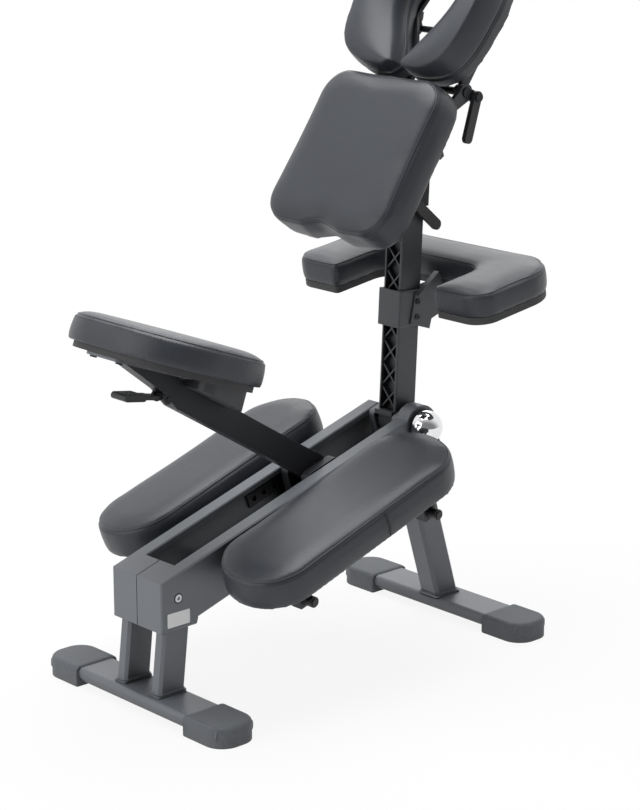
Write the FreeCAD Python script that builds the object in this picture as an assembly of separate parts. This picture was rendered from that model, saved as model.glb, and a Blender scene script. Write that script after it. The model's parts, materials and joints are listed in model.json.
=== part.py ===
import FreeCAD, Part
import math
import os
from FreeCAD import Placement, Rotation, Vector

# Portable massage chair, in millimetres.
# X runs across the chair, +Y is the way the sitter faces, +Z is up.
# Side-view places below are (Y from the middle of the front foot, Z above the floor).

# The whole chair
ORIGIN_Y = 347.6
FIT = 0.05
GAP = 0.35

# Feet: flat oval tubes in rubber end sleeves
FOOT_LENGTH = 482.0
FOOT_DEPTH = 88.5
REAR_FOOT_Y = 713.7
TUBE_DEPTH = 80.0
TUBE_BOTTOM = 9.6
TUBE_TOP = 33.5
TUBE_HALF_LENGTH = 226.0
TUBE_WALL = 2.5
TUBE_CORNER = 9.0
CAP_START = 145.0
CAP_HEIGHT = 36.5
CAP_CROWN = 8.0

# Legs
POST_X = 46.5
POST_WIDTH = 26.0
POST_DEPTH = 56.0
POST_BASE_Y = 4.0
POST_LEAN = 6.5
LEG_WIDTH = 48.0
LEG_DEPTH = 54.0
LEG_WALL = 3.0
WELD_PLATE = 4.0
LEG_BRACKET = 6.0

# Beam: two cast halves with a slot between their rails
BEAM_FRONT = (-21.4, 238.2)
BEAM_SLOPE = 17.0
BEAM_LENGTH = 662.0
BEAM_DEPTH = 96.5
BEAM_HALF_WIDTH = 66.0
BLOCK_LENGTH = 53.0
BLOCK_BOTTOM = 150.0
BLOCK_REAR_Y = 54.0
SEAM = 0.8
SLOT_HALF_WIDTH = 37.0
LEDGE_X = 28.0
RAIL_WEB = 6.0
RAIL_FLANGE = 10.0
LEDGE_THICKNESS = 12.0
BLOCK_BOLT = (15.0, 206.0)
BOLT_R = 4.0
BOLT_RECESS = 4.0
BLANK_PLATE_Z = 170.0

# Knee pads, given along the beam (s) and above its top (lift)
KNEE_WIDTH = 184.0
KNEE_LENGTH = 496.0
KNEE_X = 172.0
KNEE_S = 318.0
KNEE_TOP = 14.5
KNEE_ROLL = 5.6
KNEE_PITCH = 1.7
KNEE_PAD = 52.0
KNEE_BOARD = 10.0
KNEE_BAR_S = (166.0, 470.0)
KNEE_BAR_Z = -79.0
KNEE_BAR_R = 9.5
KNEE_BAR_WALL = 2.0
KNEE_BAR_HALF = 240.0

# Seat, its arm and its carriage
SEAT_PIVOT = (372.0, 350.0)
SEAT_PIN_R = 7.0
SEAT_BUSH_R = 10.0
ARM_HALF = 17.0
ARM_R = 25.0
GLIDE = 4.0
SEAT_CENTRE = (64.0, 643.5)
SEAT_TILT = 20.2
SEAT_WIDTH = 332.0
SEAT_DEPTH = 306.0
SEAT_CORNER = 132.0
SEAT_PAD = 51.0
SEAT_BOARD = 11.0
SEAT_PLATE = 5.0
LEVER_PIVOT = (40.0, 538.0)
LEVER_R = 7.0
LEVER_PIN_R = 3.0
LEVER_HALF = 10.0

# Column and its hinge
HINGE = (585.0, 397.0)
HINGE_PIN_R = 8.0
HINGE_BOSS_R = 38.0
COLUMN_LEAN = 2.8
COLUMN_HALF = 22.0
COLUMN_FRONT = -24.0
COLUMN_BACK = 27.0
COLUMN_TOP = 496.0
LATTICE_PITCH = 43.0
LATTICE_START = 20.0
LATTICE_CELLS = 11
STRIP_BACK = 31.0
KNOB_R = 31.0
KNOB_STUD_R = 5.0
COLUMN_BUSH_R = 11.0
COLUMN_BUSH_X = 14.0

# Armrest
SLEEVE_LOW = 176.0
SLEEVE_HIGH = 243.0
SLEEVE_WALL = 6.0
ARMREST_FRONT = (543.0, 673.6)
ARMREST_RISE = 8.3
ARMREST_WIDTH = 490.0
ARMREST_DEPTH = 231.0
ARMREST_INNER = 121.0
ARMREST_REACH = 132.0
ARMREST_PAD = 49.0
ARMREST_BOARD = 13.0
GUSSET = 3.5
FLANGE = 12.0

# Chest pad
CHEST_SLEEVE_LOW = 394.0
CHEST_SLEEVE_HIGH = 456.0
CHEST_PIVOT = (545.6, 857.4)
CHEST_LEAN = 34.5
CHEST_WIDTH = 306.0
CHEST_HEIGHT = 312.0
CHEST_PAD = 58.0
CHEST_BOARD = 10.0
CHEST_STANDOFF = 25.0
CHEST_PIN_R = 6.0
LUG_X = (14.0, 26.0)
CLAMP_HUB = (592.0, 803.0)
CLAMP_TIP = (650.0, 754.0)
CLAMP_STUD_R = 4.0

# Face cradle
CRADLE_PIVOT = (645.0, 999.0)
CAM_PIVOT = (665.0, 990.0)
CAM_TIP = (643.0, 919.0)
CAM_LEVER_R = 10.5
CAM_PIN_R = 5.0
CRADLE_SHAFT_R = 7.0
TILT_SHAFT_R = 6.0
COLLAR_R = 9.0
CRADLE_LEAN = 36.0
CRADLE_PLATE_X = 88.0
CRADLE_PLATE = 8.0
CRADLE_UPPER = 112.0
CRADLE_BACK = 18.0
CRADLE_DECK = 7.0
CRADLE_TIP = -9.0


def place(shape, frame):
    moved = shape.copy()
    moved.Placement = frame.multiply(moved.Placement)
    return moved


def frame_at(point, angle):
    return Placement(Vector(0, point[0], point[1]), Rotation(Vector(1, 0, 0), angle))


BEAM = frame_at(BEAM_FRONT, BEAM_SLOPE)
SEAT = frame_at(SEAT_CENTRE, -SEAT_TILT)
COLUMN = frame_at(HINGE, -COLUMN_LEAN)
ARMREST = frame_at(ARMREST_FRONT, ARMREST_RISE)
CHEST = frame_at(CHEST_PIVOT, 90.0 - CHEST_LEAN)
CRADLE = frame_at(CRADLE_PIVOT, 90.0 - CRADLE_LEAN)
ACROSS = Placement(Vector(0, 0, 0), Rotation(Vector(1, 1, 1), 120.0))
ALONG = Placement(Vector(0, 0, 0), Rotation(Vector(1, 0, 0), 90.0))


def local(frame, point):
    """A side-view point (Y, Z) in a sub-assembly's own frame."""
    inside = frame.inverse().multVec(Vector(0, point[0], point[1]))
    return inside.y, inside.z


def world(frame, y, z):
    """A point of a sub-assembly's frame as a side-view point (Y, Z)."""
    outside = frame.multVec(Vector(0, y, z))
    return outside.y, outside.z


def mirror(shape):
    return shape.mirror(Vector(0, 0, 0), Vector(1, 0, 0))


def both(shape):
    return [shape, mirror(shape)]


def group(shapes):
    return Part.makeCompound(shapes)


def fuse(shapes):
    return shapes[0].multiFuse(shapes[1:]).removeSplitter()


def box(x0, x1, y0, y1, z0, z1):
    return Part.makeBox(x1 - x0, y1 - y0, z1 - z0, Vector(x0, y0, z0))


def rod(radius, x0, x1, y, z):
    """A cylinder along X."""
    return Part.makeCylinder(radius, x1 - x0, Vector(x0, y, z), Vector(1, 0, 0))


def ring(inner, outer, x0, x1, y, z):
    return rod(outer, x0, x1, y, z).cut(rod(inner, x0 - 1, x1 + 1, y, z))


def unit(a, b):
    length = math.hypot(b[0] - a[0], b[1] - a[1])
    return (b[0] - a[0]) / length, (b[1] - a[1]) / length


def inset(corners, distance):
    """Corners (x, y, radius), counter-clockwise, drawn in by a distance all round."""
    result = []
    for i, (x, y, radius) in enumerate(corners):
        before = unit(corners[i - 1], (x, y))
        after = unit((x, y), corners[(i + 1) % len(corners)])
        turn = before[0] * after[1] - before[1] * after[0]
        share = 1.0 + before[0] * after[0] + before[1] * after[1]
        shift_x = -(before[1] + after[1]) * distance / share
        shift_y = (before[0] + after[0]) * distance / share
        kept = radius - distance if turn > 0 else radius + distance
        result.append((x + shift_x, y + shift_y, max(kept, 3.0)))
    return result


def outline(corners, height):
    """A closed wire of lines and corner arcs, lying flat at a height."""
    stops = []
    for i, (x, y, radius) in enumerate(corners):
        before = unit((x, y), corners[i - 1])
        after = unit((x, y), corners[(i + 1) % len(corners)])
        half = math.acos(before[0] * after[0] + before[1] * after[1]) / 2.0
        reach = radius / math.tan(half)
        bisector = unit((0, 0), (before[0] + after[0], before[1] + after[1]))
        depth = radius / math.sin(half) - radius
        stops.append((
            Vector(x + before[0] * reach, y + before[1] * reach, height),
            Vector(x + bisector[0] * depth, y + bisector[1] * depth, height),
            Vector(x + after[0] * reach, y + after[1] * reach, height),
        ))
    edges = []
    for i, (start, middle, end) in enumerate(stops):
        edges.append(Part.Arc(start, middle, end).toShape())
        edges.append(Part.LineSegment(end, stops[(i + 1) % len(stops)][0]).toShape())
    return Part.Wire(edges)


def slab(corners, z0, z1):
    """A plate with rounded corners."""
    return Part.Face(outline(corners, z0)).extrude(Vector(0, 0, z1 - z0))


def plain(points):
    return Part.Face(Part.makePolygon([Vector(x, y, 0) for x, y in points + points[:1]]))


def across(points, x0, x1):
    """A polygon of side-view points (y, z), carried along X."""
    return place(place(plain(points).extrude(Vector(0, 0, x1 - x0)),
                       Placement(Vector(0, 0, x0), Rotation())), ACROSS)


def across_round(corners, x0, x1):
    return place(slab(corners, x0, x1), ACROSS)


def along(points, y0, y1):
    """A polygon of front-view points (x, z), carried along Y."""
    solid = plain(points).extrude(Vector(0, 0, y1 - y0))
    return place(place(solid, Placement(Vector(0, 0, -y1), Rotation())), ALONG)


def rectangle(half_x, half_y, radius, x=0.0, y=0.0):
    return [
        (x - half_x, y - half_y, radius),
        (x + half_x, y - half_y, radius),
        (x + half_x, y + half_y, radius),
        (x - half_x, y + half_y, radius),
    ]


# A cushion's rings: share of its height, then how far the side is drawn in there
CUSHION_SIDE = ((0.0, 4.0), (0.09, 1.9), (0.2, 0.8), (0.5, 0.0), (0.78, 0.4))
CUSHION_EDGE = ((0.87, 1.5), (0.92, 3.4), (0.955, 7.0), (0.975, 13.0), (0.99, 24.0), (1.0, 44.0))


def cushion(corners, bottom, top):
    """A stuffed pad: sides bowed out between the seams, and a crowned top."""
    rings = []
    for share, drawn in CUSHION_SIDE + CUSHION_EDGE:
        rings.append(outline(inset(corners, drawn), bottom + share * (top - bottom)))
    return Part.makeLoft(rings, True, True)


def upholstered(corners, drawn, bottom, board_top, top, frame, wrapped):
    """A pad and its board. A wrapped pad hides the board's edge, and any other pad sits on top of the board."""
    board = slab(inset(corners, drawn), bottom, board_top)
    if wrapped:
        pad = cushion(corners, bottom, top).cut(board)
    else:
        pad = cushion(corners, board_top, top)
    return place(pad, frame), place(board, frame)


def round_bar(start, end, radius, x0, x1):
    """A flat bar with round ends between two side-view points."""
    dy, dz = unit(start, end)
    side = (-dz * radius, dy * radius)
    body = across([
        (start[0] + side[0], start[1] + side[1]),
        (start[0] - side[0], start[1] - side[1]),
        (end[0] - side[0], end[1] - side[1]),
        (end[0] + side[0], end[1] + side[1]),
    ], x0, x1)
    return fuse([body, rod(radius, x0, x1, *start), rod(radius, x0, x1, *end)])


def button_heads(places, radius, height, shank, shank_radius):
    """Socket-head screws from (point, direction) pairs: the shank runs in, the head stands out."""
    screws = []
    for point, direction in places:
        head = Part.makeCylinder(radius, height, point, direction)
        socket = Part.makeCylinder(radius * 0.45, height * 0.6, point + direction * (height * 0.45), direction)
        body = Part.makeCylinder(shank_radius, shank + 1.0, point - direction * shank, direction)
        screws.append(fuse([head.cut(socket), body]))
    return screws


# Feet

def foot_tube(foot_y):
    middle = (TUBE_BOTTOM + TUBE_TOP) / 2.0
    half = (TUBE_TOP - TUBE_BOTTOM) / 2.0
    section = rectangle(TUBE_DEPTH / 2.0, half, TUBE_CORNER, foot_y, middle)
    outer = across_round(section, -TUBE_HALF_LENGTH, TUBE_HALF_LENGTH)
    return outer.cut(across_round(inset(section, TUBE_WALL), -TUBE_HALF_LENGTH - 1, TUBE_HALF_LENGTH + 1))


def foot_cap(foot_y):
    half_depth = FOOT_DEPTH / 2.0
    end = FOOT_LENGTH / 2.0
    plan = [
        (CAP_START, foot_y - half_depth, 4.0),
        (end, foot_y - half_depth, 36.0),
        (end, foot_y + half_depth, 36.0),
        (CAP_START, foot_y + half_depth, 4.0),
    ]
    shoulder = CAP_HEIGHT - CAP_CROWN
    lower = slab(plan, 0.0, shoulder)
    rings = [outline(plan, shoulder)]
    for rise, drawn in ((4.5, 1.2), (7.2, 4.0), (CAP_CROWN, 8.0)):
        rings.append(outline(inset(plan, drawn), shoulder + rise))
    body = fuse([lower, Part.makeLoft(rings, True, True)])
    middle = (TUBE_BOTTOM + TUBE_TOP) / 2.0
    half = (TUBE_TOP - TUBE_BOTTOM) / 2.0
    section = rectangle(TUBE_DEPTH / 2.0 + FIT, half + FIT, TUBE_CORNER + FIT, foot_y, middle)
    return body.cut(across_round(section, CAP_START - 20.0, TUBE_HALF_LENGTH + FIT))


def chamfered(half_x, half_y, cut, x, y):
    return [
        (x - half_x + cut, y - half_y), (x + half_x - cut, y - half_y),
        (x + half_x, y - half_y + cut), (x + half_x, y + half_y - cut),
        (x + half_x - cut, y + half_y), (x - half_x + cut, y + half_y),
        (x - half_x, y + half_y - cut), (x - half_x, y - half_y + cut),
    ]


def leg_tube(x, half_x, half_y, wall, point, lean, low, high):
    """A leaning rectangular tube, cut level at its lower and upper heights."""
    outer = plain(chamfered(half_x, half_y, 5.0, x, 0.0)).extrude(Vector(0, 0, 500.0))
    inner = plain(chamfered(half_x - wall, half_y - wall, 3.0, x, 0.0)).extrude(Vector(0, 0, 500.0))
    tube = place(outer.cut(inner), Placement(Vector(0, 0, -100.0), Rotation()))
    tube = place(tube, frame_at(point, lean))
    return tube.common(box(-200, 200, -300, 1200, low, high))


def base_parts():
    parts = {}
    for end, foot_y in (("front", 0.0), ("rear", REAR_FOOT_Y)):
        parts[end + "_foot_tube"] = foot_tube(foot_y)
        cap = foot_cap(foot_y)
        parts[end + "_foot_cap_right"] = cap
        parts[end + "_foot_cap_left"] = mirror(cap)
    floor = TUBE_TOP + WELD_PLATE
    post = leg_tube(POST_X, POST_WIDTH / 2.0, POST_DEPTH / 2.0, TUBE_WALL,
                    (POST_BASE_Y, TUBE_TOP), -POST_LEAN, floor, BLOCK_BOTTOM)
    parts["front_post_right"] = post
    parts["front_post_left"] = mirror(post)
    bracket_z = -BEAM_DEPTH - LEG_BRACKET
    leg_s = BEAM_LENGTH - LEG_DEPTH / 2.0
    leg_top = world(BEAM, leg_s, bracket_z)
    outer = plain(chamfered(LEG_WIDTH / 2.0, LEG_DEPTH / 2.0, 6.0, 0.0, leg_s)).extrude(Vector(0, 0, 420.0))
    inner = plain(chamfered(LEG_WIDTH / 2.0 - LEG_WALL, LEG_DEPTH / 2.0 - LEG_WALL, 4.0, 0.0, leg_s))
    leg = outer.cut(inner.extrude(Vector(0, 0, 420.0)))
    leg = place(place(leg, Placement(Vector(0, 0, bracket_z - 420.0), Rotation())), BEAM)
    parts["rear_leg"] = leg.common(box(-200, 200, 400, 1000, floor, 600))
    leg_foot_y = leg_top[0] + (leg_top[1] - floor) * math.tan(math.radians(BEAM_SLOPE))
    plates = both(slab(rectangle(15.5, 31.0, 5.0, POST_X, POST_BASE_Y), TUBE_TOP, floor))
    plates.append(slab(rectangle(27.0, 31.0, 6.0, 0.0, leg_foot_y), TUBE_TOP, floor))
    parts["weld_plates"] = group(plates)
    saddle = slab(rectangle(58.0, LEG_DEPTH / 2.0 + 6.0, 6.0, 0.0, leg_s - 6.0), bracket_z, -BEAM_DEPTH)
    parts["leg_bracket"] = place(saddle, BEAM)
    return parts


# Beam

def beam_half(with_boss):
    """The right half of the beam. Only the half on the knob's side has a round boss at the column's hinge."""
    front_y = BEAM_FRONT[0]
    block = across([
        BEAM_FRONT,
        (front_y, BLOCK_BOTTOM),
        (BLOCK_REAR_Y, BLOCK_BOTTOM),
        world(BEAM, BLOCK_LENGTH, -BEAM_DEPTH),
        world(BEAM, BLOCK_LENGTH, 0.0),
    ], SEAM, BEAM_HALF_WIDTH)
    outer_edges = []
    for edge in block.Edges:
        outside = min(v.X for v in edge.Vertexes) > BEAM_HALF_WIDTH - 0.01
        if outside and edge.CenterOfMass.y < BLOCK_REAR_Y - 12.0:
            outer_edges.append(edge)
    block = block.makeChamfer(2.5, outer_edges)
    wide = BEAM_HALF_WIDTH
    web = wide - RAIL_WEB
    rail = along([
        (SLOT_HALF_WIDTH, -2.0), (SLOT_HALF_WIDTH + 2.0, 0.0), (wide - 2.5, 0.0), (wide, -2.5),
        (wide, -BEAM_DEPTH + 3.0), (wide - 3.0, -BEAM_DEPTH), (LEDGE_X, -BEAM_DEPTH),
        (LEDGE_X, -BEAM_DEPTH + LEDGE_THICKNESS), (web, -BEAM_DEPTH + LEDGE_THICKNESS),
        (web, -RAIL_FLANGE), (SLOT_HALF_WIDTH, -RAIL_FLANGE),
    ], BLOCK_LENGTH - 8.0, BEAM_LENGTH)
    end_cut = across([
        (BEAM_LENGTH - 36.0, 1.0), (BEAM_LENGTH + 8.0, 1.0), (BEAM_LENGTH + 8.0, -48.0),
    ], 0.0, wide + 5.0)
    pieces = [block, place(rail.cut(end_cut), BEAM)]
    if with_boss:
        pieces.append(rod(HINGE_BOSS_R, SLOT_HALF_WIDTH, wide, *HINGE))
    half = fuse(pieces)
    for bar_s in KNEE_BAR_S:
        half = half.cut(place(rod(KNEE_BAR_R + FIT, 0.0, wide + 5.0, bar_s, KNEE_BAR_Z), BEAM))
    half = half.cut(rod(HINGE_PIN_R, 0.0, wide + 5.0, *HINGE))
    half = half.cut(rod(BOLT_R + 5.0, wide - BOLT_RECESS, wide + 5.0, *BLOCK_BOLT))
    half = half.cut(rod(BOLT_R + FIT, wide - 30.0, wide, *BLOCK_BOLT))
    return half


def beam_parts():
    parts = {}
    parts["beam_half_right"] = beam_half(True)
    parts["beam_half_left"] = mirror(beam_half(False))
    hinge_s = local(BEAM, HINGE)[0]
    cheek = place(across_round([
        (hinge_s - 30.0, -62.0, 6.0), (hinge_s + 30.0, -62.0, 6.0),
        (hinge_s + 30.0, -1.0, 10.0), (hinge_s - 30.0, -1.0, 10.0),
    ], COLUMN_HALF + 1.0, SLOT_HALF_WIDTH - FIT), BEAM)
    parts["hinge_cheeks"] = group(both(cheek.cut(rod(HINGE_PIN_R, 0.0, 60.0, *HINGE))))
    pin = fuse([
        rod(HINGE_PIN_R - FIT, -BEAM_HALF_WIDTH - 1.0, BEAM_HALF_WIDTH + 2.0, *HINGE),
        rod(14.0, -BEAM_HALF_WIDTH - 6.0, -BEAM_HALF_WIDTH - FIT, *HINGE),
        rod(KNOB_STUD_R, BEAM_HALF_WIDTH, BEAM_HALF_WIDTH + 18.0, *HINGE),
    ])
    parts["column_hinge_pin"] = pin
    inner = BEAM_HALF_WIDTH - BOLT_RECESS
    bolts = []
    for side in (1.0, -1.0):
        bolts.append((Vector(side * inner, *BLOCK_BOLT), Vector(side, 0, 0)))
    parts["beam_bolts"] = group(button_heads(bolts, BOLT_R + 3.0, 4.5, 22.0, BOLT_R))
    parts["blank_plate"] = across_round(rectangle(24.0, 12.5, 2.0, BLOCK_BOLT[0], BLANK_PLATE_Z),
                                        BEAM_HALF_WIDTH, BEAM_HALF_WIDTH + 0.6)
    rack = box(BEAM_HALF_WIDTH - RAIL_WEB - 5.0, BEAM_HALF_WIDTH - RAIL_WEB, 300.0, 452.0, -50.0, -24.0)
    for i in range(6):
        rack = rack.cut(rod(5.0, 40.0, 70.0, 314.0 + i * 24.8, -37.0))
    parts["seat_rack"] = place(mirror(rack), BEAM)
    return parts


# Knee rests

def knee_frame():
    roll = Placement(Vector(KNEE_X, KNEE_S, KNEE_TOP), Rotation(Vector(0, 1, 0), KNEE_ROLL))
    pitch = Placement(Vector(0, 0, 0), Rotation(Vector(1, 0, 0), KNEE_PITCH))
    return BEAM.multiply(roll).multiply(pitch)


def knee_parts():
    parts = {}
    frame = knee_frame()
    plan = rectangle(KNEE_WIDTH / 2.0, KNEE_LENGTH / 2.0, KNEE_WIDTH / 2.0 - 5.0)
    board_bottom = -KNEE_PAD - KNEE_BOARD
    pad, board = upholstered(plan, 15.0, board_bottom, -KNEE_PAD, 0.0, frame, True)
    parts["knee_pad_right"] = pad
    parts["knee_pad_left"] = mirror(pad)
    parts["knee_board_right"] = board
    parts["knee_board_left"] = mirror(board)
    bars = []
    plugs = []
    saddles = []
    below_board = place(box(-100, 100, -300, 300, board_bottom - 90.0, board_bottom), frame)
    for bar_s in KNEE_BAR_S:
        bar = ring(KNEE_BAR_R - KNEE_BAR_WALL, KNEE_BAR_R, -KNEE_BAR_HALF, KNEE_BAR_HALF, bar_s, KNEE_BAR_Z)
        bars.append(place(bar, BEAM))
        plug = fuse([
            rod(KNEE_BAR_R - KNEE_BAR_WALL - FIT, KNEE_BAR_HALF - 16.0, KNEE_BAR_HALF, bar_s, KNEE_BAR_Z),
            rod(KNEE_BAR_R, KNEE_BAR_HALF, KNEE_BAR_HALF + 5.0, bar_s, KNEE_BAR_Z),
            rod(KNEE_BAR_R - 3.0, KNEE_BAR_HALF, KNEE_BAR_HALF + 8.0, bar_s, KNEE_BAR_Z),
        ])
        plugs += both(place(plug, BEAM))
        for x in (KNEE_X - 52.0, KNEE_X + 40.0):
            block = box(x - 12.0, x + 12.0, bar_s - 14.0, bar_s + 14.0, KNEE_BAR_Z - 12.5, -20.0)
            block = block.cut(rod(KNEE_BAR_R + FIT, x - 20.0, x + 20.0, bar_s, KNEE_BAR_Z))
            saddles += both(place(block, BEAM).common(below_board))
    parts["knee_bars"] = group(bars)
    parts["knee_bar_plugs"] = group(plugs)
    parts["knee_saddles"] = group(saddles)
    return parts


# Seat

def arm_outline():
    """The arm's side view: a bowed bar from the pivot up to the seat's plate."""
    underside = -SEAT_PAD - SEAT_BOARD - SEAT_PLATE
    top_end = world(SEAT, 26.0, underside)
    tail_end = world(SEAT, -96.0, underside)
    stops = {
        "pivot_top": (386.0, 371.0), "pivot_end": (393.0, 336.0), "pivot_low": (352.0, 335.0),
        "top_mid": (195.0, 488.0), "top_end": top_end, "tail": tail_end,
        "notch": (30.0, 551.0), "low_end": (58.0, 517.0), "low_mid": (209.0, 424.0),
    }
    return {name: Vector(0, y, z) for name, (y, z) in stops.items()}


def seat_arm():
    p = arm_outline()
    wire = Part.Wire([
        Part.Arc(p["pivot_low"], p["pivot_end"], p["pivot_top"]).toShape(),
        Part.Arc(p["pivot_top"], p["top_mid"], p["top_end"]).toShape(),
        Part.LineSegment(p["top_end"], p["tail"]).toShape(),
        Part.LineSegment(p["tail"], p["notch"]).toShape(),
        Part.LineSegment(p["notch"], p["low_end"]).toShape(),
        Part.Arc(p["low_end"], p["low_mid"], p["pivot_low"]).toShape(),
    ])
    solid = Part.Face(wire).extrude(Vector(2.0 * ARM_HALF, 0, 0))
    return place(solid, Placement(Vector(-ARM_HALF, 0, 0), Rotation()))


def seat_parts():
    parts = {}
    plan = rectangle(SEAT_WIDTH / 2.0, SEAT_DEPTH / 2.0, SEAT_CORNER)
    board_bottom = -SEAT_PAD - SEAT_BOARD
    plate_bottom = board_bottom - SEAT_PLATE
    pad, board = upholstered(plan, 16.0, board_bottom, -SEAT_PAD, 0.0, SEAT, False)
    parts["seat_pad"] = pad
    parts["seat_board"] = board
    plate = slab(rectangle(45.0, 86.0, 14.0, 0.0, -50.0), plate_bottom, board_bottom)
    parts["seat_mount_plate"] = place(plate, SEAT)
    arm = seat_arm()
    housing = place(slab(rectangle(74.0, 52.0, 26.0, 0.0, 92.0), board_bottom - 60.0, board_bottom), SEAT)
    p = arm_outline()
    under_arm = across([
        (p["pivot_top"].y, p["pivot_top"].z), (p["top_mid"].y, p["top_mid"].z - 6.0),
        (p["top_end"].y, p["top_end"].z - 12.0), (p["top_end"].y, 300.0), (p["pivot_top"].y, 300.0),
    ], -100.0, 100.0)
    whole = housing.cut(under_arm).cut(arm)
    parts["seat_housing"] = max(whole.Solids, key=lambda solid: solid.Volume)
    notch = rod(LEVER_R + 1.2, -60.0, 60.0, *LEVER_PIVOT)
    arm = arm.cut(rod(SEAT_BUSH_R, -60.0, 60.0, *SEAT_PIVOT))
    lug = rod(LEVER_R + 3.0, LEVER_HALF + 1.0, ARM_HALF, *LEVER_PIVOT)
    notch = notch.common(box(-LEVER_HALF - 0.5, LEVER_HALF + 0.5, -200, 500, 300, 700))
    arm = fuse([arm.cut(notch)] + both(lug))
    parts["seat_arm"] = arm.cut(rod(LEVER_PIN_R + FIT, -60.0, 60.0, *LEVER_PIVOT))
    bushes = ring(SEAT_PIN_R + FIT, SEAT_BUSH_R - FIT, 6.0, ARM_HALF, *SEAT_PIVOT)
    parts["seat_arm_bushes"] = group(both(bushes))
    parts["lever_pin"] = rod(LEVER_PIN_R, -ARM_HALF - 1.5, ARM_HALF + 1.5, *LEVER_PIVOT)
    parts["seat_release_lever"] = release_lever()
    screws = []
    for x in (-34.0, 34.0):
        for y in (-122.0, 18.0):
            point = SEAT.multVec(Vector(x, y, plate_bottom))
            down = SEAT.Rotation.multVec(Vector(0, 0, -1))
            screws.append((point, down))
    parts["seat_screws"] = group(button_heads(screws, 6.0, 3.0, 0.0, 2.5))
    return parts


def release_lever():
    """A paddle under the seat: a barrel on its pin, a thin neck and a fat finger end."""
    neck = (12.0, 543.6)
    grip = (-12.0, 548.4)
    tip = (-46.0, 554.0)
    barrel = rod(LEVER_R, -LEVER_HALF, LEVER_HALF, *LEVER_PIVOT)
    stem = round_bar(LEVER_PIVOT, neck, 3.6, -LEVER_HALF, LEVER_HALF)
    blade = round_bar(neck, grip, 3.6, -15.0, 15.0)
    paddle = round_bar(grip, tip, 6.0, -19.0, 19.0)
    lever = fuse([barrel, stem, blade, paddle])
    return lever.cut(rod(LEVER_PIN_R + FIT, -60.0, 60.0, *LEVER_PIVOT))


def carriage_parts():
    parts = {}
    pivot_s, pivot_z = local(BEAM, SEAT_PIVOT)
    front = pivot_s - 38.0
    back = pivot_s + 40.0
    ledge = -BEAM_DEPTH + LEDGE_THICKNESS
    side = SLOT_HALF_WIDTH - 0.8
    runner = BEAM_HALF_WIDTH - RAIL_WEB - 8.0
    floor = box(-side, side, front, back, ledge + GAP + GLIDE, pivot_z - ARM_R - 4.0)
    runners = box(-runner, runner, front, back, ledge + GAP + GLIDE, -56.0)
    cheek = across_round([
        (front, ledge + 10.0, 4.0), (back, ledge + 10.0, 4.0), (back, 1.0, 12.0), (front, 1.0, 12.0),
    ], ARM_HALF + 0.8, side)
    body = fuse([floor, runners] + both(cheek))
    body = place(body.cut(rod(SEAT_PIN_R + FIT, -60.0, 60.0, pivot_s, pivot_z)), BEAM)
    parts["seat_carriage"] = body
    parts["seat_pivot_pin"] = rod(SEAT_PIN_R, -side + 1.0, side - 1.0, *SEAT_PIVOT)
    glide = box(LEDGE_X + 2.0, runner, front + 3.0, back - 3.0, ledge + GAP, ledge + GAP + GLIDE)
    parts["carriage_glides"] = group([place(g, BEAM) for g in both(glide)])
    return parts


# Column

def column_solid():
    body = box(-COLUMN_HALF, COLUMN_HALF, COLUMN_FRONT, COLUMN_BACK, 0.0, COLUMN_TOP)
    body = body.makeFillet(3.0, [e for e in body.Edges if abs(e.Length - COLUMN_TOP) < 1.0])
    ledge = box(-COLUMN_HALF, COLUMN_HALF, COLUMN_FRONT - 9.0, COLUMN_FRONT + 1.0,
                LATTICE_START - 9.0, LATTICE_START)
    body = fuse([body, ledge, rod(-COLUMN_FRONT, -COLUMN_HALF, COLUMN_HALF, 0.0, 0.0)])
    half = COLUMN_HALF - 5.0
    top = LATTICE_START + LATTICE_CELLS * LATTICE_PITCH
    body = body.cut(box(-half, half, COLUMN_FRONT - 1.0, COLUMN_FRONT + 15.0, LATTICE_START, top))
    ribs = []
    for cell in range(LATTICE_CELLS):
        low = LATTICE_START + cell * LATTICE_PITCH
        high = low + LATTICE_PITCH
        rise = [(-half - 1, low), (-half - 1, low + 4.5), (half + 1, high), (half + 1, high - 4.5)]
        rib = along(rise, COLUMN_FRONT + 4.0, COLUMN_FRONT + 16.0)
        ribs += both(rib)
    body = fuse([body] + ribs)
    for seat in both(rod(COLUMN_BUSH_R, COLUMN_BUSH_X, 60.0, 0.0, 0.0)):
        body = body.cut(seat)
    return body.cut(rod(HINGE_PIN_R + 1.0, -60.0, 60.0, 0.0, 0.0))


def column_parts():
    parts = {}
    parts["column"] = place(column_solid(), COLUMN)
    bush = ring(HINGE_PIN_R + FIT - 0.02, COLUMN_BUSH_R - FIT, COLUMN_BUSH_X, COLUMN_HALF, 0.0, 0.0)
    parts["column_bushes"] = group([place(b, COLUMN) for b in both(bush)])
    strip = box(-15.0, 15.0, COLUMN_BACK, STRIP_BACK, 42.0, 156.0)
    parts["column_back_strip"] = place(strip, COLUMN)
    start = BEAM_HALF_WIDTH + 2.6
    rim = start + 9.0
    dome = Part.makeSphere(KNOB_R, Vector(rim, 0, 0))
    dome = dome.common(box(rim, rim + KNOB_R, -KNOB_R, KNOB_R, -KNOB_R, KNOB_R))
    knob = fuse([dome, rod(KNOB_R, start + 4.0, rim, 0.0, 0.0), rod(16.0, start, rim, 0.0, 0.0)])
    knob = knob.cut(rod(KNOB_STUD_R + FIT, start - 1.0, BEAM_HALF_WIDTH + 19.0, 0.0, 0.0))
    parts["column_lock_knob"] = place(knob, frame_at(HINGE, 0.0))
    return parts


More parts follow.
